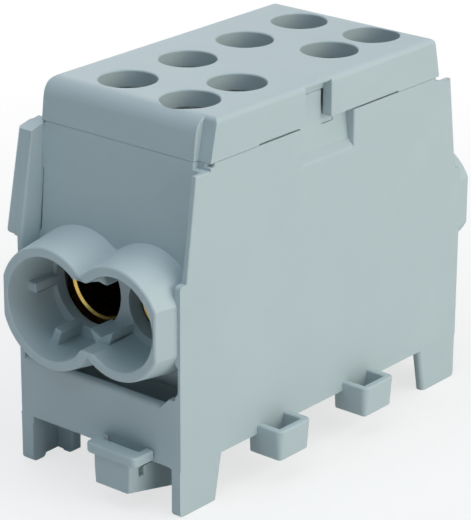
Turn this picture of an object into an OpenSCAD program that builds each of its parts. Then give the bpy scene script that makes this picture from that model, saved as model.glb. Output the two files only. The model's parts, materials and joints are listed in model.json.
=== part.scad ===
// Main terminal block for a 35 mm mounting rail.
// Lengths are in millimetres. The origin is the middle of the rail, on the seat: z = 0 is
// the rail seat, the cables run along x and the rail along y, with the coupling loops on
// the -y side. The modules below are drawn about the middle of the block.

/* [Housing] */
// Length over the end sills
body_len = 60; // [58:0.5:66]
// Width over the long sides
body_w = 28.2; // [27.6:0.1:31]
// Height from the rail seat to the cover joint
body_h = 40; // [39:0.5:44]
// Thickness of the moulded walls
wall = 1.5; // [1.2:0.1:1.8]
// Thickness of the floor above the rail seat
floor_t = 1.6; // [1.2:0.1:2.4]
// Drop of the legs below the rail seat
leg_drop = 6.5; // [6:0.1:7.2]
// Length of a leg at its foot
leg_len = 7.3; // [6:0.1:8]
// Slant of the inner edge of a leg
leg_slant = 1.25; // [0:0.05:1.5]
// Set-back of the legs from the long sides
leg_set = 0.1; // [0:0.05:0.2]
// Thickness of the leg fronts on the ear side
ear_leg_t = 2.1; // [1.8:0.1:2.6]
// Length of the leg fronts on the ear side
ear_leg_len = 2.4; // [2:0.1:3]
// Reach of the posts behind the legs on the ear side
post_in = 4.3; // [3:0.1:5]
// Thickness of the posts
post_t = 2; // [1.5:0.1:2.4]

/* [End panels] */
// Set-back of the end panel from the sill, at the cover joint
panel_in = 5.1; // [4.8:0.1:5.3]
// Lean of the end panel, run per rise
panel_lean = 0.118; // [0.1:0.002:0.125]
// Height down to which the end panel leans
panel_foot_h = 15; // [14:0.5:18]
// Height of the sill below the sockets
sill_h = 8.6; // [7:0.1:9]
// Rise of the sill's corner on the loop side
sill_rise = 1.1; // [0.8:0.1:1.4]
// Height of the step in the end flanges
step_h = 25.4; // [24:0.1:27]
// Set-back of the flange edge from the sill, at the step
flange_in_low = 1.3; // [1:0.1:1.6]
// Set-back of the flange edge from the sill, at its top
flange_in_top = 3.1; // [2.8:0.1:3.4]
// Height of the flange top below the cover joint
flange_drop = 0.9; // [0.6:0.1:1.5]
// Thickness of the end flanges
flange_t = 0.9; // [0.8:0.1:1.1]
// Reach of the ears beyond the long side
ear_out = 2.1; // [1.5:0.1:2.4]
// Depth of the ears along the block
ear_depth = 3.6; // [3:0.1:4]
// Set-back of the ears from the sill, at their top
ear_in_top = 2.8; // [2.5:0.1:3]
// Rise of an ear's top towards its back
ear_rise = 0.85; // [0.4:0.05:1]
// Thinning of the ear side's flanges, at their top
ear_taper = 0.5; // [0.2:0.05:0.6]
// Width of the groove between an ear side's flange and the end panel
ear_groove = 0.3; // [0.2:0.05:0.5]

/* [Cable sockets] */
// Reach of the sockets beyond the sill
socket_out = 3.6; // [3:0.1:5]
// Height of the wide socket's axis above the rail seat
socket_a_h = 18.4; // [18:0.1:18.8]
// Outer radius of the wide socket at its rim
socket_a_r = 8.35; // [8.2:0.05:8.5]
// Height of the narrow socket's axis above the rail seat
socket_b_h = 19.4; // [19:0.1:19.8]
// Outer radius of the narrow socket at its rim
socket_b_r = 7.65; // [7.5:0.05:7.8]
// Distance of the wide socket's flat from the middle of the block, at the rim
socket_a_flat = 13.3; // [13.1:0.05:13.6]
// Distance of the narrow socket's flat from the middle of the block, at the rim
socket_b_flat = 13.05; // [12.95:0.05:13.4]
// Thickness of the socket rim
rim_t = 1.3; // [1.1:0.05:1.5]
// Growth of the outer radius from the rim to the back of the end panel
socket_flare = 1.35; // [0.8:0.05:1.5]
// Shrinkage of the inner radius from the rim to the socket floor
socket_draft = 0.5; // [0.2:0.05:0.6]
// Thickness of the guide ribs in the sockets
rib_t = 1.3; // [1:0.1:1.6]
// Clearance between the guide ribs and the line of a bore
rib_gap = 0.6; // [0.4:0.05:0.8]
// Bottom of the passage between the sockets, below the wide socket's axis
waist_low = 4.05; // [3.8:0.05:4.2]
// Top of the passage between the sockets, above the wide socket's axis
waist_top = 5.4; // [5.1:0.05:5.5]

/* [Terminal bar] */
// Distance of the wide bore's axis from the middle of the block
bore_a_y = 5.4; // [5.3:0.05:5.5]
// Distance of the narrow bore's axis from the middle of the block
bore_b_y = 6.2; // [6.1:0.05:6.3]
// Height of both bores above the rail seat
bore_h = 19.2; // [19:0.1:19.6]
// Radius of the wide bore
bore_a_r = 4.9; // [4.5:0.05:5]
// Radius of the narrow bore
bore_b_r = 4.2; // [3.8:0.05:4.3]
// Chamfer at the mouths of the bores
bore_bevel = 0.35; // [0.2:0.05:0.5]
// Length of the bar
bar_len = 46.6; // [46:0.1:47]
// Width of the bar
bar_w = 22.6; // [22.2:0.1:22.8]
// Height of the bar's underside above the rail seat
bar_foot_h = 12.2; // [11.5:0.1:13]
// Height of the bar's top above the rail seat
bar_top_h = 31; // [30:0.5:32]
// Clearance between the bar and the housing's guide ribs
bar_gap = 0.1; // [0.05:0.05:0.2]

/* [Clamp screws] */
// Distance of the inner screws of the wide bore from the middle of the block
screw_a_in = 5.9; // [5.5:0.1:6.5]
// Distance of the outer screws of the wide bore from the middle of the block
screw_a_out = 17.7; // [17:0.1:18]
// Distance of the inner screws of the narrow bore from the middle of the block
screw_b_in = 9.6; // [9.2:0.1:9.8]
// Distance of the outer screws of the narrow bore from the middle of the block
screw_b_out = 18.9; // [18.5:0.1:19]
// Radius of the screws
screw_r = 3.95; // [3.5:0.05:4]
// Clearance between a screw and its hole, radial
screw_gap = 0.05; // [0.02:0.01:0.08]
// Length of the screws
screw_len = 15.5; // [13:0.5:16]
// Height of a raised screw's tip above its bore
screw_lift = 0.3; // [0.2:0.1:0.6]
// Width across flats of the hexagon socket
hex_w = 4; // [3:0.5:5]
// Depth of the hexagon socket
hex_depth = 4; // [3:0.5:5]

/* [Cover] */
// Height of the cover above the joint
cover_h = 5.6; // [5:0.1:7]
// Gap between the cover and the housing at the joint
joint_gap = 0.05; // [0.05:0.05:0.3]
// Thickness of the cover's top
cover_top_t = 1.8; // [1.5:0.1:2.2]
// Thickness of the cover's skirt
skirt_t = 1.45; // [1.2:0.05:1.5]
// Radius of the rounded ends of the cover
cover_end_r = 2.6; // [2:0.1:3]
// Radius of the rounded long edges of the cover
cover_edge_r = 0.8; // [0.6:0.1:1.4]
// Radius of the screwdriver holes
hole_r = 3.9; // [3.6:0.1:4.2]
// Length of the screwdriver holes
hole_len = 2.5; // [2.2:0.1:3.2]
// Width of the rim round a screwdriver hole, below the cover's top
hole_rim = 1.1; // [0.8:0.1:1.4]
// Set-back of the corner bands from the end panel
band_in = 0.8; // [0.7:0.05:1.1]
// Width of the corner bands
band_w = 2.1; // [1.8:0.1:2.3]
// Lean of the corner bands, run per rise
band_lean = 0.22; // [0.1:0.01:0.24]
// Radius of the corner bands' top edge
band_r = 0.7; // [0.5:0.1:2]
// Length of the notch in the skirt
notch_len = 5.4; // [4.5:0.1:6]
// Distance of the notch's middle from the middle of the block
notch_off = 2.6; // [2:0.1:2.8]
// Thickness left above the notch
notch_roof = 0.55; // [0.4:0.05:0.8]
// Set-back of the cover's edge above the notch
notch_set = 0.25; // [0.1:0.05:0.4]
// Half length of the relief under the skirt
relief_half = 14.7; // [12:0.1:16]
// Depth of the relief under the skirt
relief_h = 0.2; // [0.15:0.05:0.5]

/* [Release pockets] */
// Length of the pockets in the long sides, at the cover joint
pocket_len = 11.2; // [10:0.1:12]
// Distance of the pockets from the middle of the block
pocket_off = 0.55; // [0.3:0.05:0.8]
// Depth of the pockets below the cover joint
pocket_h = 4.1; // [3:0.1:5]
// Depth of the pockets into the wall, at their sill
pocket_deep = 0.95; // [0.7:0.05:1.1]
// Height of the sloping sill of the pockets
pocket_ramp = 1.05; // [0.8:0.05:2]
// Length of the lever slots in the tongues
lever_len = 2.5; // [2:0.1:3]
// Depth of the lever slots at their top
lever_deep = 0.85; // [0.5:0.05:0.9]
// Clearance between the tongues and the skirt
tongue_gap = 0.05; // [0.05:0.05:0.3]

/* [Coupling loops] */
// Length of a loop along the block
loop_len = 6.6; // [5.5:0.1:6.8]
// Reach of the loops beyond the long side
loop_out = 4; // [3.5:0.05:5]
// Wall thickness of the loops
loop_t = 1.1; // [0.9:0.1:1.3]
// Draft of the loops from their top to their foot, on each side
loop_draft = 0.3; // [0:0.05:0.4]
// Top of the loops above the rail seat
loop_top = 1.3; // [1:0.1:2]
// Drop of the loops below the rail seat
loop_drop = 3.05; // [2.5:0.05:3.5]
// Radius of the outer corners of the loops
loop_r = 0.9; // [0.5:0.1:1]

/* [Mounting rail] */
// Distance of the rail's middle from the middle of the block
rail_off = 2.2; // [1.5:0.1:2.5]
// Width of the mounting rail
rail_w = 35; // [35:1:35]
// Free width between the lips of the mounting rail
rail_mouth = 25; // [25:1:25]
// Thickness of the mounting rail's lips
rail_t = 1; // [1:0.1:1.3]
// Clearance between the rail and the hooks
rail_gap = 0.2; // [0.1:0.05:0.3]
// Reach of the fixed hook under the rail
hook_reach = 1.9; // [1.5:0.1:2.2]
// Width of the fixed hook
hook_w = 18; // [14:0.5:20]
// Drop of the fixed hook below the rail seat
hook_drop = 4.2; // [3.8:0.1:5]

/* [Rail latch] */
// Distance of the latch from the middle of the block
latch_off = 5.3; // [5:0.1:5.5]
// Width of the latch's slider
latch_w = 6.3; // [5.8:0.1:6.6]
// Narrowing of the slider towards its underside, on each side
latch_taper = 0.3; // [0.1:0.05:0.4]
// Drop of the latch's underside below the rail seat, at its front
latch_drop = 3.65; // [3.4:0.05:3.8]
// Slope of the latch's underside, fall per run
latch_slope = 0.23; // [0.18:0.01:0.24]
// Reach of the wings that carry the slider in its guides
wing = 0.8; // [0.6:0.05:1]
// Reach of the latch under the rail
latch_reach = 1.5; // [1.2:0.1:1.8]
// Travel of the latch
latch_travel = 2.4; // [2:0.1:2.6]
// Sliding clearance round the latch
latch_gap = 0.2; // [0.1:0.05:0.25]
// Reach of the pull loop beyond the sill
pull_out = 3.8; // [3.4:0.1:4.5]
// Width of the pull loop
pull_w = 8.7; // [8.2:0.1:9]
// Thickness of the pull loop
pull_t = 1.5; // [1.2:0.1:1.6]
// Height of the pull loop's underside above the rail seat
pull_h = 0.35; // [0.25:0.05:0.6]
// Depth of the pull loop's front bar
pull_bar = 2.3; // [1.8:0.1:2.5]
// Width of the pull loop's arms
pull_arm = 1.15; // [1:0.05:1.4]
// Radius of the pull loop's front corners
pull_r = 0.9; // [0.5:0.1:1.1]

/* [Hidden] */
$fn = 64;

grey = [0.66, 0.72, 0.73];
brass = [0.78, 0.62, 0.32];
steel = [0.72, 0.73, 0.75];
over = 1;                                    // overlap of joined and cut shapes
big = 4 * body_len;                          // size of cutting blocks

hl = body_len / 2;
hw = body_w / 2;
inner_hw = hw - wall;                        // inner face of the long sides
bar_hl = bar_len / 2;
cavity_hl = bar_hl + bar_gap;                // inner face of the end walls
cover_z = body_h + joint_gap;                // underside of the skirt
cover_top = cover_z + cover_h;
flange_top = body_h - flange_drop;
panel_x = hl - panel_in;                     // end panel at the cover joint
rail_x = -rail_off;
rail_near = rail_x - rail_w / 2;
rail_far = rail_x + rail_w / 2;
socket_x = hl + socket_out;
socket_floor = cavity_hl + 2.4;              // bottom of the sockets
socket_back = cavity_hl + wall / 2;          // back end of the sockets' outside
mouth_a = bore_a_r + 0.85;                   // radius of the opening in the wide socket's floor
mouth_b = bore_b_r + 0.3;                    // radius of the opening in the narrow socket's floor
mouth_recess = 0.6;                          // depth of the recess behind the wide opening
loop_mid = rail_mouth / 2 - loop_len / 2 - 0.05;
latch_y = -latch_off;
latch_top = -latch_gap;
wing_t = 1;                                  // thickness of the slider's wings
guide_t = 1.2;                               // ribs and lips that guide the latch
guide_len = 4;
guide_x1 = rail_near - rail_gap - 1.4;       // inner end of the guides
latch_low = -leg_drop + 0.5;                 // lowest level of the latch
peg_len = 1.2;                               // stop peg of the latch
peg_w = 2;
peg_drop = 1.5;
peg_x = -(hl - 3);                           // outer side of the peg
tongue_hl = pocket_len / 2 + pocket_off + 0.9;
tongue_top = cover_z + cover_h - cover_top_t - joint_gap;
crease = 0.05;                               // ledge at the shoulder of the cover's ends

function panel_at(z) = panel_x + (body_h - z) * panel_lean;

// an outline in x and z, drawn out along y from y0 to y1
module along_y(y0, y1) {
    translate([0, y1, 0]) rotate([90, 0, 0]) linear_extrude(y1 - y0) children();
}

// an outline in y and z, drawn out along x from x0 to x1
module along_x(x0, x1) {
    translate([x0, 0, 0]) rotate([90, 0, 90]) linear_extrude(x1 - x0) children();
}

// a round bar along x
module round_x(x0, x1, y, z, r0, r1) {
    translate([x0, y, z]) rotate([0, 90, 0]) cylinder(h = x1 - x0, r1 = r0, r2 = r1);
}

module block(x0, x1, y0, y1, z0, z1) {
    translate([x0, y0, z0]) cube([x1 - x0, y1 - y0, z1 - z0]);
}

// the place of the block over the middle of the rail
module on_rail() {
    translate([rail_off, 0, 0]) children();
}

// both ends of the block: the near one and its mirror image
module both_ends() {
    children();
    mirror([1, 0, 0]) children();
}

// outline of a long side above the rail seat, up to the end panels, with a small notch at the joint
module side_core() {
    top_x = panel_x - band_in;
    notch_z = body_h - flange_drop / 2;
    for (side = [0, 1]) mirror([side, 0])
        polygon([[over, 0], [-hl, 0], [-hl, step_h], [-panel_at(step_h), step_h],
                 [-panel_at(flange_top), flange_top], [-top_x, flange_top], [-top_x, notch_z],
                 [-cavity_hl, notch_z], [-cavity_hl, body_h], [over, body_h]]);
}

// outline of an end flange in front of the end panel
module flange_outline(in_low, in_top) {
    polygon([[-(hl - in_low), step_h], [-(hl - in_top), flange_top], [-cavity_hl, flange_top],
             [-cavity_hl, step_h - over], [-(hl - in_low), step_h - over]]);
}

// outline of an ear, which leans with its flange
module ear_outline() {
    top_x = ear_in_top - hl;
    polygon([[-hl, step_h], [top_x, flange_top], [top_x + ear_depth, flange_top + ear_rise],
             [-hl + ear_depth, step_h]]);
}

// outline of one leg
module leg_outline() {
    polygon([[-hl, -leg_drop], [-hl, over], [leg_len + leg_slant - hl, over], [leg_len + leg_slant - hl, 0],
             [leg_len - hl, -leg_drop]]);
}

// the legs of one end; the one on the ear side has a thicker front and a post at its inner end
module legs() {
    post_x = leg_len - post_t - hl;
    along_y(-hw + leg_set, -inner_hw) leg_outline();
    along_y(inner_hw, hw - leg_set) leg_outline();
    block(-hl, -hl + ear_leg_len, hw - ear_leg_t, hw - wall / 2, -leg_drop, over);
    block(post_x, post_x + post_t, hw - post_in, hw - wall / 2, -leg_drop, over);
}

// the end panel, which goes down behind the sill
module end_panel() {
    foot = cavity_hl + wall;
    along_y(-hw + flange_t, hw - flange_t / 4)
        polygon([[-cavity_hl, 0], [-cavity_hl, body_h], [-panel_x, body_h],
                 [-panel_at(panel_foot_h), panel_foot_h], [-foot, sill_h], [-foot, 0]]);
}

// the outer end wall below the sockets, with a rounded top edge
module sill() {
    along_y(-hw + flange_t, hw - flange_t) {
        translate([-hl, 0]) square([wall, sill_h - wall / 2]);
        translate([-hl + wall / 2, sill_h - wall / 2]) circle(wall / 2);
    }
    // the corner next to the flange stands higher
    corner = hw - flange_t / 2;
    along_x(-hl, -hl + wall)
        polygon([[-corner, 0], [-corner, sill_h + sill_rise], [-corner + 1.5, sill_h + sill_rise],
                 [-corner + 3.4, sill_h - wall / 2], [-corner + 3.4, 0]]);
}

// outside of both sockets, flattened at the long sides
module socket_outside() {
    side = hw - flange_t / 2;
    intersection() {
        union() {
            round_x(-socket_x, -socket_back, bore_a_y, socket_a_h, socket_a_r, socket_a_r + socket_flare);
            round_x(-socket_x, -socket_back, -bore_b_y, socket_b_h, socket_b_r, socket_b_r + socket_flare);
        }
        linear_extrude(body_h)
            polygon([[-socket_x - over, -socket_b_flat], [-socket_x, -socket_b_flat], [-hl, -side],
                     [0, -side], [0, side], [-hl, side],
                     [-socket_x, socket_a_flat], [-socket_x - over, socket_a_flat]]);
    }
}

// hollow of one socket, with the opening in its floor
module socket_hollow(y, h, r, mouth) {
    round_x(-socket_x - over, -socket_x, y, h, r, r);
    round_x(-socket_x - 0.01, -socket_floor, y, h, r, r - socket_draft);
    round_x(-socket_floor - 0.01, -cavity_hl + over, y, bore_h, mouth, mouth);
}

// passage between the two sockets
module socket_waist() {
    block(-socket_x - over, -socket_floor, -2.4, 0.9, socket_a_h - waist_low, socket_a_h + waist_top);
}

// a guide rib that stands inwards from a socket's wall, at an angle round its axis
module guide_rib(y, h, r, bore_r, angle) {
    intersection() {
        difference() {
            translate([0, y, h]) rotate([angle, 0, 0])
                block(-hl, -socket_floor + 0.05, 0, r + rim_t, -rib_t / 2, rib_t / 2);
            round_x(-socket_x, 0, y, bore_h, bore_r + rib_gap, bore_r + rib_gap);
        }
        round_x(-socket_x, 0, y, h, r + rim_t / 2, r + rim_t / 2);
    }
}

// a place in y and z at a radius and an angle round an axis
function polar(y, h, r, angle) = [y + r * cos(angle), h + r * sin(angle)];

// the ribs in the sockets
module socket_ribs() {
    r_a = socket_a_r - rim_t;
    r_b = socket_b_r - rim_t;
    near_a = bore_a_r + rib_gap / 2;
    near_b = bore_b_r + rib_gap / 2;
    for (angle = [4, 76, -70]) guide_rib(bore_a_y, socket_a_h, r_a, bore_a_r, angle);
    for (angle = [138, 228]) guide_rib(-bore_b_y, socket_b_h, r_b, bore_b_r, angle);
    along_x(-hl, -socket_floor + 0.05) {
        // double rib on the lower ridge between the sockets
        polygon([polar(bore_a_y, bore_h, near_a, 221), [-0.6, bore_h - 4.2],
                 polar(-bore_b_y, bore_h, near_b, -40), polar(-bore_b_y, socket_b_h, r_b, -50),
                 polar(-bore_b_y, socket_b_h, r_b + rim_t / 2, -54),
                 polar(bore_a_y, socket_a_h, r_a + rim_t / 2, 224), polar(bore_a_y, socket_a_h, r_a, 222)]);
        // double rib on the upper ridge
        polygon([polar(bore_a_y, bore_h, near_a, 146), [-0.2, bore_h + 3.25],
                 polar(-bore_b_y, bore_h, near_b + 0.9, 33), [-1, socket_a_h + waist_top - 0.2],
                 [-1, socket_a_h + waist_top + 0.4], [1.3, socket_a_h + waist_top + 0.4]]);
    }
}

// groove between the ear side's flange and the end panel
module flange_groove() {
    inner = hw - flange_t;
    intersection() {
        along_y(inner - over, hw)
            polygon([[-panel_at(step_h) - over, step_h], [-panel_at(body_h) - over, body_h + over],
                     [-panel_at(body_h) + 0.5, body_h + over], [-panel_at(step_h) + 0.5, step_h]]);
        along_x(-hl, -cavity_hl)
            polygon([[inner - ear_groove, step_h], [inner, step_h], [inner + ear_taper, body_h],
                     [inner + ear_taper, body_h + over], [inner + ear_taper - ear_groove, body_h + over],
                     [inner + ear_taper - ear_groove, body_h]]);
    }
}

// the moulded end with panel, sill and sockets
module housing_end() {
    difference() {
        union() {
            end_panel();
            socket_outside();
        }
        socket_hollow(bore_a_y, socket_a_h, socket_a_r - rim_t, mouth_a);
        socket_hollow(-bore_b_y, socket_b_h, socket_b_r - rim_t, mouth_b);
        socket_waist();
        round_x(-cavity_hl - mouth_recess, -cavity_hl + over, bore_a_y, bore_h, mouth_a + 0.7, mouth_a + 0.7);
        // corner band above the flange
        block(-big, -(panel_x - band_in), -big, -hw + band_w, flange_top, big);
        flange_groove();
    }
    socket_ribs();
    sill();
    legs();
}

// flange and ear on the ear side; their inner face thins towards the top
module ear_flange() {
    difference() {
        union() {
            along_y(hw - flange_t, hw) flange_outline(0, ear_in_top);
            along_y(hw - flange_t, hw + ear_out) ear_outline();
        }
        along_x(-hl - over, -panel_x) translate([hw - flange_t, 0])
            polygon([[-over, step_h], [0, step_h], [ear_taper, body_h], [-over, body_h]]);
    }
}

// a coupling loop that hangs from the lower edge of the long side and narrows downwards
module coupling_loop(x) {
    half = loop_len / 2;
    corner = loop_out - loop_r;
    translate([x, -hw, 0]) {
        difference() {
            union() {
                along_y(-corner, wall / 2)
                    polygon([[loop_draft - half, -loop_drop], [-half, loop_top], [half, loop_top],
                             [half - loop_draft, -loop_drop]]);
                along_x(loop_r - half, half - loop_r)
                    polygon([[loop_draft - loop_out, -loop_drop], [-loop_out, loop_top], [wall / 2, loop_top],
                             [wall / 2, -loop_drop]]);
                for (side = [-1, 1]) translate([side * (half - loop_r), -corner, -loop_drop])
                    cylinder(h = loop_drop + loop_top, r1 = loop_r - loop_draft, r2 = loop_r);
            }
            block(loop_t - half, half - loop_t, loop_t - loop_out, 0, -big, big);
        }
        // the long side goes down behind the loop
        along_y(0, wall) polygon([[loop_draft - half, -loop_drop], [-half, loop_top], [half, loop_top],
                                  [half - loop_draft, -loop_drop]]);
    }
}

// the fixed hook at the far side of the rail
module rail_hook() {
    nose_top = -rail_t - rail_gap;
    nose = rail_far - hook_reach;
    along_y(-hook_w / 2, hook_w / 2)
        polygon([[rail_far + rail_gap, over], [rail_far + rail_gap, nose_top], [nose, nose_top],
                 [nose, nose_top - 1], [nose + 1.2, -hook_drop], [rail_far + 2.8, -hook_drop],
                 [rail_far + 3.4, over]]);
}

// guides and stop peg of the rail latch, under the floor
module latch_guides() {
    slot_y = latch_w / 2 + latch_gap;
    guide_y = slot_y + wing;
    lip_top = latch_top - wing_t - latch_gap;
    for (side = [-1, 1]) translate([0, latch_y, 0]) mirror([0, side > 0 ? 0 : 1, 0]) {
        block(guide_x1 - guide_len, guide_x1, guide_y, guide_y + guide_t, lip_top - guide_t, over);
        block(guide_x1 - guide_len, guide_x1, slot_y, guide_y + guide_t, lip_top - guide_t, lip_top);
    }
    block(peg_x, peg_x + peg_len, latch_y - peg_w / 2, latch_y + peg_w / 2, -peg_drop, over);
}

// a pocket in the long side, with a sloping sill below
module release_pocket() {
    top = body_h + over;
    foot = body_h - pocket_h;
    along_x(-pocket_off - pocket_len / 2, -pocket_off + pocket_len / 2)
        polygon([[-hw - over, top], [-inner_hw, top], [-inner_hw, body_h], [-hw + pocket_deep, foot],
                 [-hw, foot - pocket_ramp], [-hw - over, foot - pocket_ramp]]);
    // slot for a lever, beside the end of the skirt's notch
    lever_x = -notch_off + notch_len / 2 - 0.4;
    along_x(lever_x, lever_x + lever_len)
        polygon([[-hw, body_h - 1], [-inner_hw, body_h - 1], [lever_deep - inner_hw, tongue_top + over],
                 [-hw, tongue_top + over]]);
}

// a tongue that closes a pocket from inside and rises into the cover
module locating_tongue() {
    face = inner_hw - max(0, tongue_gap - (wall - skirt_t));
    back = bar_w / 2 + bar_gap;
    block(-tongue_hl, tongue_hl, -inner_hw - wall / 4, -back, body_h - pocket_h - 5, body_h - over);
    block(-tongue_hl, tongue_hl, -face, -back, body_h - 2 * over, tongue_top);
}

module housing() {
    color(grey) {
        difference() {
            union() {
                along_y(-hw, -inner_hw) side_core();
                along_y(inner_hw, hw) side_core();
                locating_tongue();
                mirror([0, 1, 0]) locating_tongue();
            }
            release_pocket();
            rotate([0, 0, 180]) release_pocket();
            // the long sides are thin in front of the end panels
            both_ends() block(-hl - over, -cavity_hl - wall, -hw + flange_t, hw - flange_t,
                              sill_h - wall, body_h + over);
        }
        both_ends() {
            along_y(-hw, -hw + flange_t) flange_outline(flange_in_low, flange_in_top);
            ear_flange();
            housing_end();
        }
        block(-hl + wall / 2, hl - wall / 2, -hw + wall / 2, hw - wall / 2, 0, floor_t);
        // rails that carry the bar, and ribs that hold it sideways
        for (side = [-1, 1]) {
            block(-bar_hl + 3, bar_hl - 3, side * 7 - wall / 2, side * 7 + wall / 2, floor_t / 2, bar_foot_h);
            for (x = [-16, 16]) mirror([0, side > 0 ? 0 : 1, 0])
                block(x - wall / 2, x + wall / 2, bar_w / 2 + bar_gap, inner_hw + wall / 2,
                      floor_t / 2, bar_top_h - 3);
        }
        for (side = [-1, 1]) coupling_loop(rail_x + side * loop_mid);
        rail_hook();
        latch_guides();
    }
}

// side view of the cover with its rounded ends
module cover_side(foot, lean, end_r) {
    shoulder = cover_h - end_r;
    end_x = foot - shoulder * lean;
    arc_x = end_x - crease - end_r;
    polygon([[-foot, 0], [-end_x, shoulder], [end_x, shoulder], [foot, 0]]);
    translate([-arc_x, 0]) square([2 * arc_x, cover_h]);
    for (side = [-1, 1]) translate([side * arc_x, shoulder]) circle(end_r);
}

// end view of the cover with its rounded long edges
module cover_end() {
    translate([-hw, 0]) square([body_w, cover_h - cover_edge_r]);
    translate([-hw + cover_edge_r, 0]) square([body_w - 2 * cover_edge_r, cover_h]);
    for (side = [-1, 1]) translate([side * (hw - cover_edge_r), cover_h - cover_edge_r]) circle(cover_edge_r);
}

// places of the screws, seen from above
screw_places = [[-screw_a_out, bore_a_y], [-screw_a_in, bore_a_y],
                [screw_a_in, bore_a_y], [screw_a_out, bore_a_y],
                [-screw_b_out, -bore_b_y], [-screw_b_in, -bore_b_y],
                [screw_b_in, -bore_b_y], [screw_b_out, -bore_b_y]];

module at_screws() {
    for (place = screw_places) translate([place[0], place[1], 0]) children();
}

// notch in the skirt of one long side
module skirt_notch() {
    block(-notch_off - notch_len / 2, -notch_off + notch_len / 2, -hw - over, -hw + skirt_t,
          -over, cover_h - notch_roof);
    block(-notch_off - notch_len / 2, -notch_off + notch_len / 2, -hw - over, -hw + notch_set,
          -over, cover_h + over);
    block(-relief_half, relief_half, -hw - over, -hw + skirt_t, -over, relief_h);
}

module cover() {
    hollow_hl = panel_x - band_in - cover_h * band_lean - 0.6;
    hollow_h = cover_h - cover_top_t;
    color(grey) translate([0, 0, cover_z]) difference() {
        union() {
            difference() {
                intersection() {
                    union() {
                        along_y(-hw + band_w, hw)
                            cover_side(panel_x - joint_gap * panel_lean, panel_lean, cover_end_r);
                        // corner bands, set back and leaning inwards
                        along_y(-hw, -hw + band_w + over) cover_side(panel_x - band_in, band_lean, band_r);
                    }
                    along_x(-hl, hl) cover_end();
                }
                block(-hollow_hl, hollow_hl, -hw + skirt_t, hw - skirt_t, -over, hollow_h);
            }
            translate([0, 0, cover_h - hole_len]) at_screws()
                cylinder(h = hole_len - over, r = hole_r + hole_rim);
        }
        translate([0, 0, cover_h - hole_len - over]) at_screws()
            cylinder(h = hole_len + 2 * over, r = hole_r);
        skirt_notch();
        rotate([0, 0, 180]) skirt_notch();
    }
}

// the slider, its nose under the rail and the pull loop in front of the sill
module rail_latch() {
    front = -hl - pull_out;
    face = front + 0.4;
    bar_back = front + pull_bar;
    nose = rail_near + latch_reach;
    nose_top = -rail_t - rail_gap;
    slider_x1 = rail_near - rail_gap;
    pull_top = pull_h + pull_t;
    low_x = face + (-latch_drop - latch_low) / latch_slope;
    half = latch_w / 2;
    color(grey) difference() {
        union() {
            intersection() {
                along_y(latch_y - half, latch_y + half)
                    polygon([[face, -latch_drop], [face, pull_top - 0.2], [bar_back, pull_top - 0.2],
                             [bar_back, latch_top], [slider_x1, latch_top], [slider_x1, nose_top],
                             [nose, nose_top], [nose, nose_top - 1], [nose - 1.6, latch_low],
                             [low_x, latch_low]]);
                along_x(-big, 0) translate([latch_y, 0])
                    polygon([[-half + latch_taper, latch_low], [-half, latch_top - wing_t], [-half, pull_top],
                             [half, pull_top], [half, latch_top - wing_t], [half - latch_taper, latch_low]]);
            }
            // wings that run in the guides
            block(guide_x1 - guide_len - latch_gap, slider_x1, latch_y - half - wing,
                  latch_y + half + wing, latch_top - wing_t, latch_top);
            // the pull loop with rounded front corners
            translate([0, latch_y, pull_h]) linear_extrude(pull_t) difference() {
                union() {
                    translate([front + pull_r, -pull_w / 2]) square([pull_out - pull_r - latch_gap, pull_w]);
                    translate([front, pull_r - pull_w / 2]) square([pull_bar, pull_w - 2 * pull_r]);
                    for (side = [-1, 1])
                        translate([front + pull_r, side * (pull_w / 2 - pull_r)]) circle(pull_r);
                }
                translate([bar_back, pull_arm - pull_w / 2]) square([pull_out, pull_w - 2 * pull_arm]);
            }
        }
        // groove for the stop peg
        block(peg_x - latch_gap, peg_x + peg_len + latch_travel + latch_gap, latch_y - peg_w / 2 - latch_gap,
              latch_y + peg_w / 2 + latch_gap, -peg_drop - latch_gap, big);
        // small slot in the side of the slider
        block(-hl - 1.5, -hl - 0.6, latch_y - latch_w / 2 - over, latch_y - latch_w / 2 + 1, -1.75, -0.6);
    }
}

// bevelled mouths of one bore of the bar
module bore_cut(y, r) {
    round_x(-bar_hl - over, bar_hl + over, y, bore_h, r, r);
    both_ends() round_x(-bar_hl - 0.01, -bar_hl + bore_bevel, y, bore_h, r + bore_bevel, r);
}

module terminal_bar() {
    color(brass) difference() {
        block(-bar_hl, bar_hl, -bar_w / 2, bar_w / 2, bar_foot_h, bar_top_h);
        bore_cut(bore_a_y, bore_a_r);
        bore_cut(-bore_b_y, bore_b_r);
        translate([0, 0, bore_h]) at_screws() cylinder(h = big, r = screw_r + screw_gap);
    }
}

// a set screw with hexagon socket and bevelled ends, raised clear of its bore
module clamp_screw(place, bore_r) {
    bevel = 0.6;
    color(steel) translate([place[0], place[1], bore_h + bore_r + screw_lift]) difference() {
        rotate_extrude()
            polygon([[0, 0], [screw_r - 2 * bevel, 0], [screw_r, 2 * bevel], [screw_r, screw_len - bevel],
                     [screw_r - bevel, screw_len], [0, screw_len]]);
        translate([0, 0, screw_len - hex_depth]) cylinder(h = hex_depth + over, r = hex_w / sqrt(3), $fn = 6);
    }
}

on_rail() housing();
on_rail() cover();
on_rail() rail_latch();
on_rail() terminal_bar();
on_rail() clamp_screw(screw_places[0], bore_a_r);  // clamp_screw_a1
on_rail() clamp_screw(screw_places[1], bore_a_r);  // clamp_screw_a2
on_rail() clamp_screw(screw_places[2], bore_a_r);  // clamp_screw_a3
on_rail() clamp_screw(screw_places[3], bore_a_r);  // clamp_screw_a4
on_rail() clamp_screw(screw_places[4], bore_b_r);  // clamp_screw_b1
on_rail() clamp_screw(screw_places[5], bore_b_r);  // clamp_screw_b2
on_rail() clamp_screw(screw_places[6], bore_b_r);  // clamp_screw_b3
on_rail() clamp_screw(screw_places[7], bore_b_r);  // clamp_screw_b4
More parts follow.
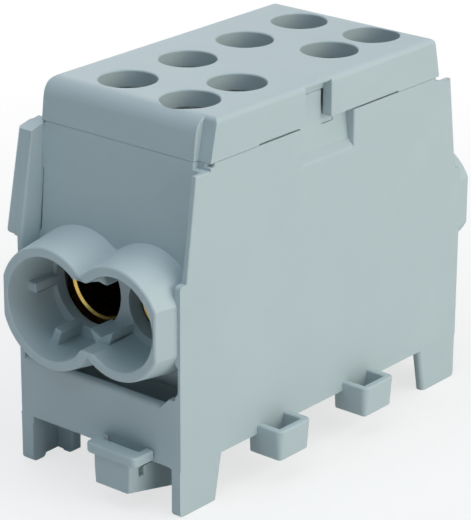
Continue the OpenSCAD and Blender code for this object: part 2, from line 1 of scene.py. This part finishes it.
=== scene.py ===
"""Looks of the main terminal block: a grey moulded block with a brass bar and clamp screws.
Metres, in the part's own frame: x along the cables, y along the rail, z = 0 at the rail seat."""
import json
import math

import bmesh
import bpy
from mathutils import Euler, Matrix, Vector
from mathutils.bvhtree import BVHTree
from mathutils.interpolate import poly_3d_calc
from mathutils.kdtree import KDTree


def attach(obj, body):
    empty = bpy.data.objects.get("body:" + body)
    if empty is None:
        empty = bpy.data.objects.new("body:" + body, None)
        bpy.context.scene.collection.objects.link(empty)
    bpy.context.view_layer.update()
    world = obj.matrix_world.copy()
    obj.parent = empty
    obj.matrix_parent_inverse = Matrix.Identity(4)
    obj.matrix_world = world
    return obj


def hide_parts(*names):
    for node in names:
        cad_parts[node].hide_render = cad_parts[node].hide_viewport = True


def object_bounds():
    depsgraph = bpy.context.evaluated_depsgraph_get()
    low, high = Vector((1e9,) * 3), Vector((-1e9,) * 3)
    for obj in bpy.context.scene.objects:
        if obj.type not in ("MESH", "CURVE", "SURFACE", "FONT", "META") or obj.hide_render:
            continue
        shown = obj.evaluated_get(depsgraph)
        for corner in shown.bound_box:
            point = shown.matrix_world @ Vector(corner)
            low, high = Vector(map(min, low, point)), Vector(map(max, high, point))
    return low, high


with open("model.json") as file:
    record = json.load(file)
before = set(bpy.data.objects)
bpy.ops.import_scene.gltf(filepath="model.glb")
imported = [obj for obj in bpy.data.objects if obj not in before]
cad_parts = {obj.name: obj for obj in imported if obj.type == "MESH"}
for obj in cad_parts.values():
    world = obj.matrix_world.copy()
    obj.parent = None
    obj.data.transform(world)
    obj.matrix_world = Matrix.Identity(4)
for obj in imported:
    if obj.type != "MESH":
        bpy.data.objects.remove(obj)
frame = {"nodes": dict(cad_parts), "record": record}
cad_low, cad_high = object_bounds()
scene = bpy.context.scene
MM = 0.001

# places of the part, in mm
BLOCK_MIDDLE = 2.2            # the block's middle along the cables, from the middle of the rail
BORE_HEIGHT = 19.2
WIDE_BORE_Y, WIDE_BORE_R = 5.4, 4.9
NARROW_BORE_Y, NARROW_BORE_R = -6.2, 4.2
BAR_HALF_LENGTH = 23.3

# how the moulded edges are rounded
LOOSE_GAP = 0.002             # mm: closer points of the loose triangles are one point
FLAT_ANGLE = 0.03             # degrees: faces that turn less are one flat face
EDGE_ANGLE = 32               # degrees: edges that turn more are rounded
SMOOTH_ANGLE = 34             # degrees: faces that turn less are shaded as one
SCREW_SMOOTH_ANGLE = 28       # degrees: the same for the screws
SMALLEST = 0.04 * MM          # a narrower rounding is left out
SMALLEST_HALVED = 0.05 * MM   # and so is one that had to be halved to less than this
RUNS_ON = -0.8                # cosine at their shared end, below which two edges go on into each other
ROOM_SHARE = 0.45             # share of the next edge that a rounding may take up
LEAST_SLANT = 0.3             # sine that counts for next edges at a narrower angle
TIP_WIDTHS, TIP_EXTRA = 1.2, 0.1 * MM   # length of an end piece: so many widths, and this
TIP_ROOM = 0.6                # share of its width that an end piece needs room for
LONG_EDGE = 3                 # an edge longer than so many end pieces is divided
SPOT_STEP = 0.3 * MM          # distance of the test points on an edge
NEAR_WIDTHS = 3               # a point within so many widths of an edge belongs to its rounding
DEPTH_SHARE = 0.4             # limit of a rounding's depth in widths, 0.3 at a square corner
SLACK = 0.01 * MM             # further depth that is allowed
NO_AREA = 1e-12               # square metres: smaller triangles away from the roundings aren't tested
TRIES = 30

# where a rounded copy takes over the normals of the built surface
INWARD = 0.05                 # a corner is looked up this share of the way to its triangle's middle
ON_SURFACE = 0.02 * MM        # a corner this close lies on it
SAME_WAY = 0.98               # cosine of faces that look the same way
ROUND_WAY = 0.7               # cosine between a rounding's face and the surface it ends on


def linear(code):
    """An sRGB hex colour as linear red, green, blue and alpha."""
    parts = [int(code[i:i + 2], 16) / 255 for i in (1, 3, 5)]
    return tuple(c / 12.92 if c <= 0.04045 else ((c + 0.055) / 1.055) ** 2.4 for c in parts) + (1.0,)


def add_node(tree, kind, links=(), **settings):
    """Adds one shader node. A setting is a socket's value or a property.
    A link is (socket, source node, output)."""
    node = tree.nodes.new(kind)
    for name, value in settings.items():
        label = name.replace("_", " ")
        if label in node.inputs:
            node.inputs[label].default_value = value
        else:
            setattr(node, name, value)
    for socket, source, output in links:
        tree.links.new(source.outputs[output], node.inputs[socket])
    return node


def new_material(name):
    material = bpy.data.materials.new(name)
    material.use_nodes = True
    material.node_tree.nodes.clear()
    return material, material.node_tree


def moulded_polyamide():
    """Grey polyamide, injection moulded in a spark-eroded tool: dull, with a fine even grain
    and faint cloudiness."""
    material, tree = new_material("grey_moulded_polyamide")
    place = add_node(tree, "ShaderNodeTexCoord")
    clouds = add_node(tree, "ShaderNodeTexNoise", [("Vector", place, "Object")],
                      Scale=1 / (9 * MM), Detail=3.0)
    tone = add_node(tree, "ShaderNodeMix", [("Factor", clouds, "Fac")], data_type="RGBA")
    tone.inputs[6].default_value = linear("#B5C3C7")
    tone.inputs[7].default_value = linear("#BCCACD")
    # the tool's grain is about 0.1 mm and is drawn 0.3 mm wide so that it shows
    grain = add_node(tree, "ShaderNodeTexNoise", [("Vector", place, "Object")],
                     Scale=1 / (0.3 * MM), Detail=2.0)
    dull = add_node(tree, "ShaderNodeMapRange", [("Value", grain, "Fac")], To_Min=0.44, To_Max=0.58)
    bump = add_node(tree, "ShaderNodeBump", [("Height", grain, "Fac")], Strength=0.12, Distance=0.02 * MM)
    plastic = add_node(tree, "ShaderNodeBsdfPrincipled",
                       [("Base Color", tone, 2), ("Roughness", dull, "Result"), ("Normal", bump, "Normal")],
                       IOR=1.53)
    add_node(tree, "ShaderNodeOutputMaterial", [("Surface", plastic, "BSDF")])
    return material


def machined_brass():
    """Brass bar stock: milled sides and bright turned edges.
    The walls of the drilled bores and the ends of the bar are painted dark brown as painted shade."""
    material, tree = new_material("machined_brass")
    place = add_node(tree, "ShaderNodeTexCoord")
    along = add_node(tree, "ShaderNodeMapping", [("Vector", place, "Object")], Scale=(0.06, 1.0, 1.0))
    marks = add_node(tree, "ShaderNodeTexNoise", [("Vector", along, "Vector")],
                     Scale=1 / (0.2 * MM), Detail=3.0)
    # painted shade: a dark brown that goes 0.03 mm into the walls of the bores and 0.02 mm into the ends of
    # the bar
    painted_shade = None
    for middle, keep, test, limit in (
            ((0, WIDE_BORE_Y, BORE_HEIGHT), (0, 1, 1), "LESS_THAN", WIDE_BORE_R + 0.03),
            ((0, NARROW_BORE_Y, BORE_HEIGHT), (0, 1, 1), "LESS_THAN", NARROW_BORE_R + 0.03),
            ((BLOCK_MIDDLE, 0, 0), (1, 0, 0), "GREATER_THAN", BAR_HALF_LENGTH - 0.02)):
        away = add_node(tree, "ShaderNodeVectorMath", [(0, place, "Object")], operation="SUBTRACT")
        away.inputs[1].default_value = Vector(middle) * MM
        away = add_node(tree, "ShaderNodeVectorMath", [(0, away, 0)], operation="MULTIPLY")
        away.inputs[1].default_value = keep
        away = add_node(tree, "ShaderNodeVectorMath", [(0, away, 0)], operation="LENGTH")
        here = add_node(tree, "ShaderNodeMath", [(0, away, "Value")], operation=test)
        here.inputs[1].default_value = limit * MM
        if painted_shade is None:
            painted_shade = here
        else:
            painted_shade = add_node(tree, "ShaderNodeMath", [(0, painted_shade, 0), (1, here, 0)], operation="MAXIMUM")
    tone = add_node(tree, "ShaderNodeMix", [("Factor", marks, "Fac")], data_type="RGBA")
    tone.inputs[6].default_value = linear("#C7A353")
    tone.inputs[7].default_value = linear("#DCBC70")
    # painted shade: the bore walls and the bar's ends take the dark brown below
    tone = add_node(tree, "ShaderNodeMix", [("Factor", painted_shade, 0), (6, tone, 2)], data_type="RGBA")
    tone.inputs[7].default_value = linear("#6E5026")
    dull = add_node(tree, "ShaderNodeMapRange", [("Value", marks, "Fac")], To_Min=0.2, To_Max=0.32)
    bump = add_node(tree, "ShaderNodeBump", [("Height", marks, "Fac")], Strength=0.15, Distance=0.005 * MM)
    metal = add_node(tree, "ShaderNodeBsdfPrincipled",
                     [("Base Color", tone, 2), ("Roughness", dull, "Result"), ("Normal", bump, "Normal")],
                     Metallic=1.0)
    add_node(tree, "ShaderNodeOutputMaterial", [("Surface", metal, "BSDF")])
    return material


def zinc_plated_steel():
    """Rolled steel screws with a clear zinc plating: bluish silver, slightly uneven gloss."""
    material, tree = new_material("zinc_plated_steel")
    place = add_node(tree, "ShaderNodeTexCoord")
    spots = add_node(tree, "ShaderNodeTexNoise", [("Vector", place, "Object")],
                     Scale=1 / (0.6 * MM), Detail=4.0)
    tone = add_node(tree, "ShaderNodeMix", [("Factor", spots, "Fac")], data_type="RGBA")
    tone.inputs[6].default_value = linear("#A9ADB2")
    tone.inputs[7].default_value = linear("#C3C6C8")
    dull = add_node(tree, "ShaderNodeMapRange", [("Value", spots, "Fac")], To_Min=0.25, To_Max=0.42)
    metal = add_node(tree, "ShaderNodeBsdfPrincipled",
                     [("Base Color", tone, 2), ("Roughness", dull, "Result")], Metallic=1.0)
    add_node(tree, "ShaderNodeOutputMaterial", [("Surface", metal, "BSDF")])
    return material


def photo_camera():
    """The camera at the photograph's place, for an image of 471 by 520 pixels."""
    focal_length, image_height = 2652.13, 520     # pixels
    yaw, pitch, roll = -50.239, 21.236, 0.27      # degrees
    eye = (-0.25797, -0.21454, 0.14772)
    data = bpy.data.cameras.new("photo_camera")
    data.sensor_width = 36.0
    data.lens = focal_length * data.sensor_width / image_height
    data.clip_start, data.clip_end = 0.01, 10.0
    camera = bpy.data.objects.new("photo_camera", data)
    scene.collection.objects.link(camera)
    turn = Euler((math.radians(90 - pitch), 0, math.radians(yaw))).to_matrix()
    turn = turn @ Matrix.Rotation(math.radians(roll), 3, "Z")
    camera.matrix_world = Matrix.Translation(eye) @ turn.to_4x4()
    scene.camera = camera


def white_surroundings():
    """White where the camera or a reflection sees them, and dim as a light on the block."""
    world = bpy.data.worlds.new("white_studio")
    scene.world = world
    world.use_nodes = True
    tree = world.node_tree
    tree.nodes.clear()
    path = add_node(tree, "ShaderNodeLightPath")
    seen = add_node(tree, "ShaderNodeMath", [(0, path, "Is Camera Ray"), (1, path, "Is Glossy Ray")],
                    operation="MAXIMUM")
    seen = add_node(tree, "ShaderNodeMath", [(0, seen, 0), (1, path, "Is Transmission Ray")],
                    operation="MAXIMUM")
    dim = add_node(tree, "ShaderNodeBackground", Color=(1, 1, 1, 1), Strength=0.05)
    white = add_node(tree, "ShaderNodeBackground", Color=(1, 1, 1, 1), Strength=1.0)
    both = add_node(tree, "ShaderNodeMixShader", [("Fac", seen, 0), (1, dim, 0), (2, white, 0)])
    add_node(tree, "ShaderNodeOutputWorld", [("Surface", both, 0)])


def pale_floor():
    """A pale round floor under the legs, with a faint shadow."""
    bpy.ops.object.select_all(action="DESELECT")
    bpy.ops.mesh.primitive_circle_add(vertices=64, radius=0.45, fill_type="NGON", location=(0, 0, cad_low.z))
    floor = bpy.context.active_object
    floor.name = "floor"
    material, tree = new_material("pale_floor")
    path = add_node(tree, "ShaderNodeLightPath")
    place = add_node(tree, "ShaderNodeTexCoord")
    away = add_node(tree, "ShaderNodeVectorMath", [("Vector", place, "Object")], operation="LENGTH")
    # the shadow fades out with distance, and the rim of the floor is as white as the surroundings
    fade = add_node(tree, "ShaderNodeMapRange", [("Value", away, "Value")], From_Min=0.03, From_Max=0.16,
                    To_Min=0.7, To_Max=1.0)
    share = add_node(tree, "ShaderNodeMath", [(0, fade, 0), (1, path, "Is Camera Ray")], operation="MULTIPLY")
    lit = add_node(tree, "ShaderNodeBsdfDiffuse", Color=linear("#F4F4F4"))
    white = add_node(tree, "ShaderNodeEmission", Color=(1, 1, 1, 1), Strength=1.0)
    both = add_node(tree, "ShaderNodeMixShader", [("Fac", share, 0), (1, lit, 0), (2, white, 0)])
    add_node(tree, "ShaderNodeOutputMaterial", [("Surface", both, 0)])
    floor.data.materials.append(material)


def soft_light(name, place, size, watts, colour="#FFFFFF"):
    """A square lamp that faces the middle of the block."""
    data = bpy.data.lights.new(name, "AREA")
    data.size, data.energy, data.color = size, watts, linear(colour)[:3]
    lamp = bpy.data.objects.new(name, data)
    scene.collection.objects.link(lamp)
    middle = (cad_low + cad_high) / 2
    lamp.location = middle + Vector(place)
    lamp.rotation_euler = (-Vector(place)).to_track_quat("-Z", "Y").to_euler()


def zone(x, y, z, width, least=EDGE_ANGLE, inner=False):
    """Edges in a box, in mm: how far they are rounded, from which angle on,
    and whether it is the inner ones."""
    return (x[0], y[0], z[0]), (x[1], y[1], z[1]), width, math.radians(least), inner


def at_both_ends(x, *rest, **more):
    """The same zone at both ends of the block."""
    return [zone((x[0] + BLOCK_MIDDLE, x[1] + BLOCK_MIDDLE), *rest, **more),
            zone((BLOCK_MIDDLE - x[1], BLOCK_MIDDLE - x[0]), *rest, **more)]


def merged_copy(name, ending, gap, flat_angle=None):
    """A copy of a node with its loose triangles joined, also to flat faces where an angle is given.
    It is selected and active."""
    piece = bpy.data.objects.new(f"{name}_{ending}", frame["nodes"][name].data.copy())
    scene.collection.objects.link(piece)
    bpy.ops.object.select_all(action="DESELECT")
    piece.select_set(True)
    bpy.context.view_layer.objects.active = piece
    bpy.ops.object.mode_set(mode="EDIT")
    bpy.ops.mesh.select_all(action="SELECT")
    bpy.ops.mesh.remove_doubles(threshold=gap * MM)
    if flat_angle is not None:
        bpy.ops.mesh.dissolve_limited(angle_limit=math.radians(flat_angle))
    bpy.ops.object.mode_set(mode="OBJECT")
    return piece


def wanted_widths(shape, width, zones):
    """The edges to be rounded and how far.
    The last zone that holds an edge counts; outside all zones the outer edges take the width."""
    sharp = {}
    for edge in shape.edges:
        if len(edge.link_faces) != 2:
            continue
        wanted, least, inner = width, math.radians(EDGE_ANGLE), False
        for low, high, *rule in zones:
            if all(low[i] <= v.co[i] / MM <= high[i] for v in edge.verts for i in range(3)):
                wanted, least, inner = rule
        if wanted > 0 and edge.is_convex != inner and edge.calc_face_angle() > least:
            sharp[edge] = wanted * MM
    return sharp


def heading(edge, vertex):
    """The direction of an edge, away from one of its ends."""
    return (edge.other_vert(vertex).co - vertex.co).normalized()


def edge_room(edge, vertex, sharp):
    """How far a rounding may reach at one end of an edge before it meets the next corner."""
    way = heading(edge, vertex)
    room = 1.0
    for other in vertex.link_edges:
        turn = way.dot(heading(other, vertex))
        if other is edge or (other in sharp and turn < RUNS_ON):
            continue
        slant = max(LEAST_SLANT, math.sqrt(max(0.0, 1 - turn * turn)))
        room = min(room, other.calc_length() * ROOM_SHARE / slant)
    return room


def divided_ends(sharp):
    """Divides long edges near their ends, so that a rounding can stop short of a corner where it doesn't fit.
    A plain corner of three rounded edges isn't divided. End pieces without room for a rounding stay sharp."""
    tips = []
    for edge in list(sharp):
        for vertex in list(edge.verts):
            tip = TIP_WIDTHS * sharp[edge] + TIP_EXTRA
            plain_corner = len(vertex.link_edges) == 3 and all(other in sharp for other in vertex.link_edges)
            if sharp[edge] > SMALLEST and edge.calc_length() > LONG_EDGE * tip and not plain_corner:
                end = bmesh.utils.edge_split(edge, vertex, tip / edge.calc_length())[0]
                sharp[end] = sharp[edge]
                tips.append(end)
    for end in tips:
        if min(edge_room(end, vertex, sharp) for vertex in end.verts) < TIP_ROOM * sharp[end]:
            del sharp[end]
    return tips


def even_widths(sharp):
    """Widths that fit each edge, where edges that run on into each other share the smallest one."""
    fits = {}
    for edge, wanted in sharp.items():
        fits[edge] = min([wanted] + [edge_room(edge, vertex, sharp) for vertex in edge.verts])
    done = set()
    for first in sharp:
        if first in done:
            continue
        done.add(first)
        run = [first]
        for edge in run:
            for vertex in edge.verts:
                way = heading(edge, vertex)
                for other in vertex.link_edges:
                    if other in sharp and other not in done and way.dot(heading(other, vertex)) < RUNS_ON:
                        done.add(other)
                        run.append(other)
        least = min(fits[edge] for edge in run)
        for edge in run:
            fits[edge] = least if least > SMALLEST else 0.0
    return fits


def edge_spots(edges):
    """Test points on the edges, each with the number of its edge."""
    points = []
    for number, edge in enumerate(edges):
        steps = max(1, round(edge.calc_length() / SPOT_STEP))
        points += [(edge.verts[0].co.lerp(edge.verts[1].co, k / steps), number) for k in range(steps + 1)]
    spots = KDTree(len(points))
    for place, number in points:
        spots.insert(place, number)
    spots.balance()
    return spots


def misfits(mesh, surface, spots, widths):
    """Numbers of the edges whose rounding left the surface it belongs to."""
    wrong = set()
    mesh.calc_loop_triangles()
    places = [v.co for v in mesh.vertices]
    for triangle in mesh.loop_triangles:
        corners = [places[i] for i in triangle.vertices]
        near = [i for _, i, far in (spots.find(c) for c in corners) if far < NEAR_WIDTHS * widths[i]]
        reach = max([widths[i] for i in near], default=0.0)
        if reach == 0.0 and triangle.area < NO_AREA:
            continue
        tests = [(corners[i] + corners[i - 1]) / 2 for i in range(3)] + [sum(corners, Vector()) / 3]
        if max(surface.find_nearest(t)[3] for t in tests) > DEPTH_SHARE * reach + SLACK:
            wrong.update(near)
    return wrong


def built_normals(mesh, source):
    """Gives each corner that still lies on the built surface that surface's own normal.
    Corners of a rounded edge take the normal of the surface they end on."""
    tree = BVHTree.FromPolygons([v.co for v in source.vertices], [list(f.vertices) for f in source.polygons])
    given = [n.vector.copy() for n in source.corner_normals]
    normals = [n.vector.copy() for n in mesh.corner_normals]
    found = {}
    mesh.calc_loop_triangles()
    for triangle in mesh.loop_triangles:
        middle = sum((mesh.vertices[i].co for i in triangle.vertices), Vector()) / 3
        for corner, vertex in zip(triangle.loops, triangle.vertices):
            near, flat, face, far = tree.find_nearest(mesh.vertices[vertex].co.lerp(middle, INWARD))
            if far > ON_SURFACE or flat.dot(triangle.normal) < SAME_WAY:
                continue
            face = source.polygons[face]
            shares = poly_3d_calc([source.vertices[i].co for i in face.vertices], near)
            parts = (given[i] * share for i, share in zip(face.loop_indices, shares))
            normals[corner] = sum(parts, Vector()).normalized()
            found.setdefault(vertex, {})[corner] = normals[corner]
    for face in mesh.polygons:
        for corner, vertex in zip(face.loop_indices, face.vertices):
            if vertex in found and corner not in found[vertex]:
                best = max(found[vertex].values(), key=face.normal.dot)
                if best.dot(face.normal) > ROUND_WAY:
                    normals[corner] = best
    mesh.normals_split_custom_set(normals)


def softened(name, width, zones=(), merge=LOOSE_GAP, divided=True):
    """A moulded node's copy with rounded edges, shown in place of the node.
    The roundings that don't fit are halved or left out, and the copy is rounded again, until all fit."""
    piece = merged_copy(name, "moulded", merge, FLAT_ANGLE)
    plain = piece.data
    shape = bmesh.new()
    shape.from_mesh(plain)
    surface = BVHTree.FromBMesh(shape)
    sharp = wanted_widths(shape, width, zones)
    tips = divided_ends(sharp) if divided else []
    shape.edges.index_update()
    shape.to_mesh(plain)
    for _ in range(TRIES):
        fits = even_widths(sharp)
        edges = [edge for edge in fits if fits[edge] > 0]
        widest = max(fits.values())
        weights = [0.0] * len(shape.edges)
        for edge in edges:
            weights[edge.index] = fits[edge] / widest
        piece.data = plain.copy()
        piece.data.attributes.new("bevel_weight_edge", "FLOAT", "EDGE").data.foreach_set("value", weights)
        bevel = piece.modifiers.new("soft_edges", "BEVEL")
        bevel.limit_method, bevel.width, bevel.segments = "WEIGHT", widest, 3
        bevel.use_clamp_overlap, bevel.loop_slide = False, False
        bpy.ops.object.modifier_apply(modifier=bevel.name)
        wrong = misfits(piece.data, surface, edge_spots(edges), [fits[edge] for edge in edges])
        if not wrong:
            break
        for i in wrong:
            sharp[edges[i]] /= 2
            if sharp[edges[i]] < SMALLEST_HALVED or edges[i] in tips:
                del sharp[edges[i]]
    shape.free()

    bpy.ops.object.shade_smooth_by_angle(angle=math.radians(SMOOTH_ANGLE))
    even = piece.modifiers.new("even_shading", "WEIGHTED_NORMAL")
    even.mode, even.keep_sharp, even.weight = "FACE_AREA_WITH_ANGLE", True, 50
    bpy.ops.object.modifier_apply(modifier=even.name)
    built_normals(piece.data, frame["nodes"][name].data)
    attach(piece, name)
    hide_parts(name)


def thread_body(foot):
    """An M8 thread of 1.25 mm pitch that starts 2 mm below the screw's foot, as a solid."""
    pitch, root, depth, root_flat, flank = 1.25, 3.2, 0.9, 0.35, 0.45    # mm
    turns = 16
    bpy.ops.object.select_all(action="DESELECT")
    bpy.ops.mesh.primitive_plane_add(size=1 * MM)
    thread = bpy.context.active_object
    bpy.ops.object.mode_set(mode="EDIT")
    bpy.ops.mesh.select_all(action="SELECT")
    bpy.ops.mesh.merge(type="CENTER")
    # half outline from the axis outwards and up: a flat root and two flanks for each turn,
    # then back to the axis
    steps = [(root, 0)] + [(0, root_flat), (depth, flank), (-depth, flank)] * turns + [(-root, 0)]
    for out, up in steps:
        bpy.ops.mesh.extrude_vertices_move(TRANSFORM_OT_translate={"value": (out * MM, 0, up * MM)})
    bpy.ops.object.mode_set(mode="OBJECT")
    turn = thread.modifiers.new("turn", "SCREW")
    turn.axis, turn.angle, turn.screw_offset, turn.steps = "Z", math.radians(360), pitch * MM, 48
    bpy.ops.object.modifier_apply(modifier=turn.name)
    bpy.ops.object.mode_set(mode="EDIT")
    bpy.ops.mesh.select_all(action="SELECT")
    bpy.ops.mesh.remove_doubles(threshold=LOOSE_GAP * MM)
    bpy.ops.mesh.select_all(action="DESELECT")
    bpy.ops.mesh.select_non_manifold()
    bpy.ops.mesh.fill()
    bpy.ops.mesh.select_all(action="SELECT")
    bpy.ops.mesh.normals_make_consistent(inside=False)
    bpy.ops.object.mode_set(mode="OBJECT")
    thread.data.transform(Matrix.Translation(foot - Vector((0, 0, 2 * MM))))
    return thread


def threaded_screws(names):
    """The clamp screws with their thread, cut once and copied to each place."""
    middles = {}
    for name in names:
        points = [v.co for v in frame["nodes"][name].data.vertices]
        middles[name] = sum(points, Vector()) / len(points)
    first = names[0]
    low = min(v.co.z for v in frame["nodes"][first].data.vertices)
    thread = thread_body(Vector((middles[first].x, middles[first].y, low)))

    piece = merged_copy(first, "threaded", LOOSE_GAP)
    cut = piece.modifiers.new("cut_thread", "BOOLEAN")
    cut.operation, cut.solver, cut.object = "INTERSECT", "EXACT", thread
    bpy.ops.object.modifier_apply(modifier=cut.name)
    bpy.ops.object.shade_smooth_by_angle(angle=math.radians(SCREW_SMOOTH_ANGLE))
    bpy.data.objects.remove(thread)
    for name in names:
        copy = piece
        if name != first:
            copy = bpy.data.objects.new(f"{name}_threaded", piece.data.copy())
            scene.collection.objects.link(copy)
            copy.data.transform(Matrix.Translation(middles[name] - middles[first]))
        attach(copy, name)
        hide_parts(name)


photo_camera()
white_surroundings()
pale_floor()
soft_light("key_right", (0.30, -0.62, 0.36), 0.5, 1.7, "#FEFFEC")
soft_light("front_right", (-0.04, -0.72, 0.15), 0.5, 1.9)
soft_light("top", (0.0, -0.05, 0.7), 0.6, 2.4, "#F4F8FF")
soft_light("top_left", (-0.45, 0.0, 0.55), 0.5, 0.9, "#C8EAFF")
soft_light("far_side", (0.35, 0.6, 0.3), 0.5, 0.8)

grey, brass, steel = moulded_polyamide(), machined_brass(), zinc_plated_steel()
finish = {"housing_grey": grey, "terminal_brass": brass, "clamp_screw_steel": steel}
for part in frame["record"]["subparts"]:
    node = frame["nodes"][part["node"]]
    node.data.materials.clear()
    node.data.materials.append(finish[part["material_slot"]])

# rounded edges of the mouldings: tighter at the joint of cover and housing,
# and none at the lower edges of the long sides
everywhere = (-99, 99)
loop_side, ear_side = (-14.2, -12.4), (12.4, 14.2)
joint = [zone(everywhere, everywhere, (39.8, 40.3), 0.03)]
legs = at_both_ends((-30.1, -20.5), everywhere, (-6.6, 0.05), 0.6)
ears = at_both_ends((-30.1, -22.0), (13.0, 16.4), (25.3, 41.0), 0.6)
steps = at_both_ends((-30.1, -28.4), everywhere, (25.3, 25.5), 0.5)
barrels = at_both_ends((-33.7, -29.0), (12.5, 14.2), (9.0, 29.0), 0.8, least=12)
barrels += at_both_ends((-33.7, -29.0), (-14.2, -12.5), (9.0, 29.0), 0.8, least=12)
waist = at_both_ends((-33.7, -25.7), (-2.6, 1.1), (14.2, 23.9), 0.6)
valley = at_both_ends((-33.7, -23.0), (-1.3, 0.5), (24.0, 27.5), 0.9, least=20, inner=True)
rims = at_both_ends((-33.7, -33.5), everywhere, (9.0, 29.0), 0.35)
loops = [zone(everywhere, (-18.3, -14.05), (-3.2, 1.4), 0.45)]
crisp = [zone(everywhere, side, (-0.05, 0.05), 0) for side in ((-14.15, -14.05), (14.05, 14.15))]
pockets = [zone((-7.0, 11.0), side, (33.0, 39.9), 0.35) for side in (loop_side, ear_side)]
notches = [zone((-3.3, 2.5), loop_side, (39.9, 46.0), 0.15), zone((1.9, 7.7), ear_side, (39.9, 46.0), 0.15)]
housing_zones = legs + ears + steps + barrels + waist + valley + rims + loops + crisp + pockets + joint
softened("housing", 0.25, housing_zones)
# the wide merge takes out a faint crease across the cover's end, and divided edges would crease its far side
softened("cover", 0.25, notches + joint, merge=0.06, divided=False)
softened("rail_latch", 0.35)
threaded_screws([name for name in frame["nodes"] if name.startswith("clamp_screw")])

scene.view_settings.view_transform = "Standard"
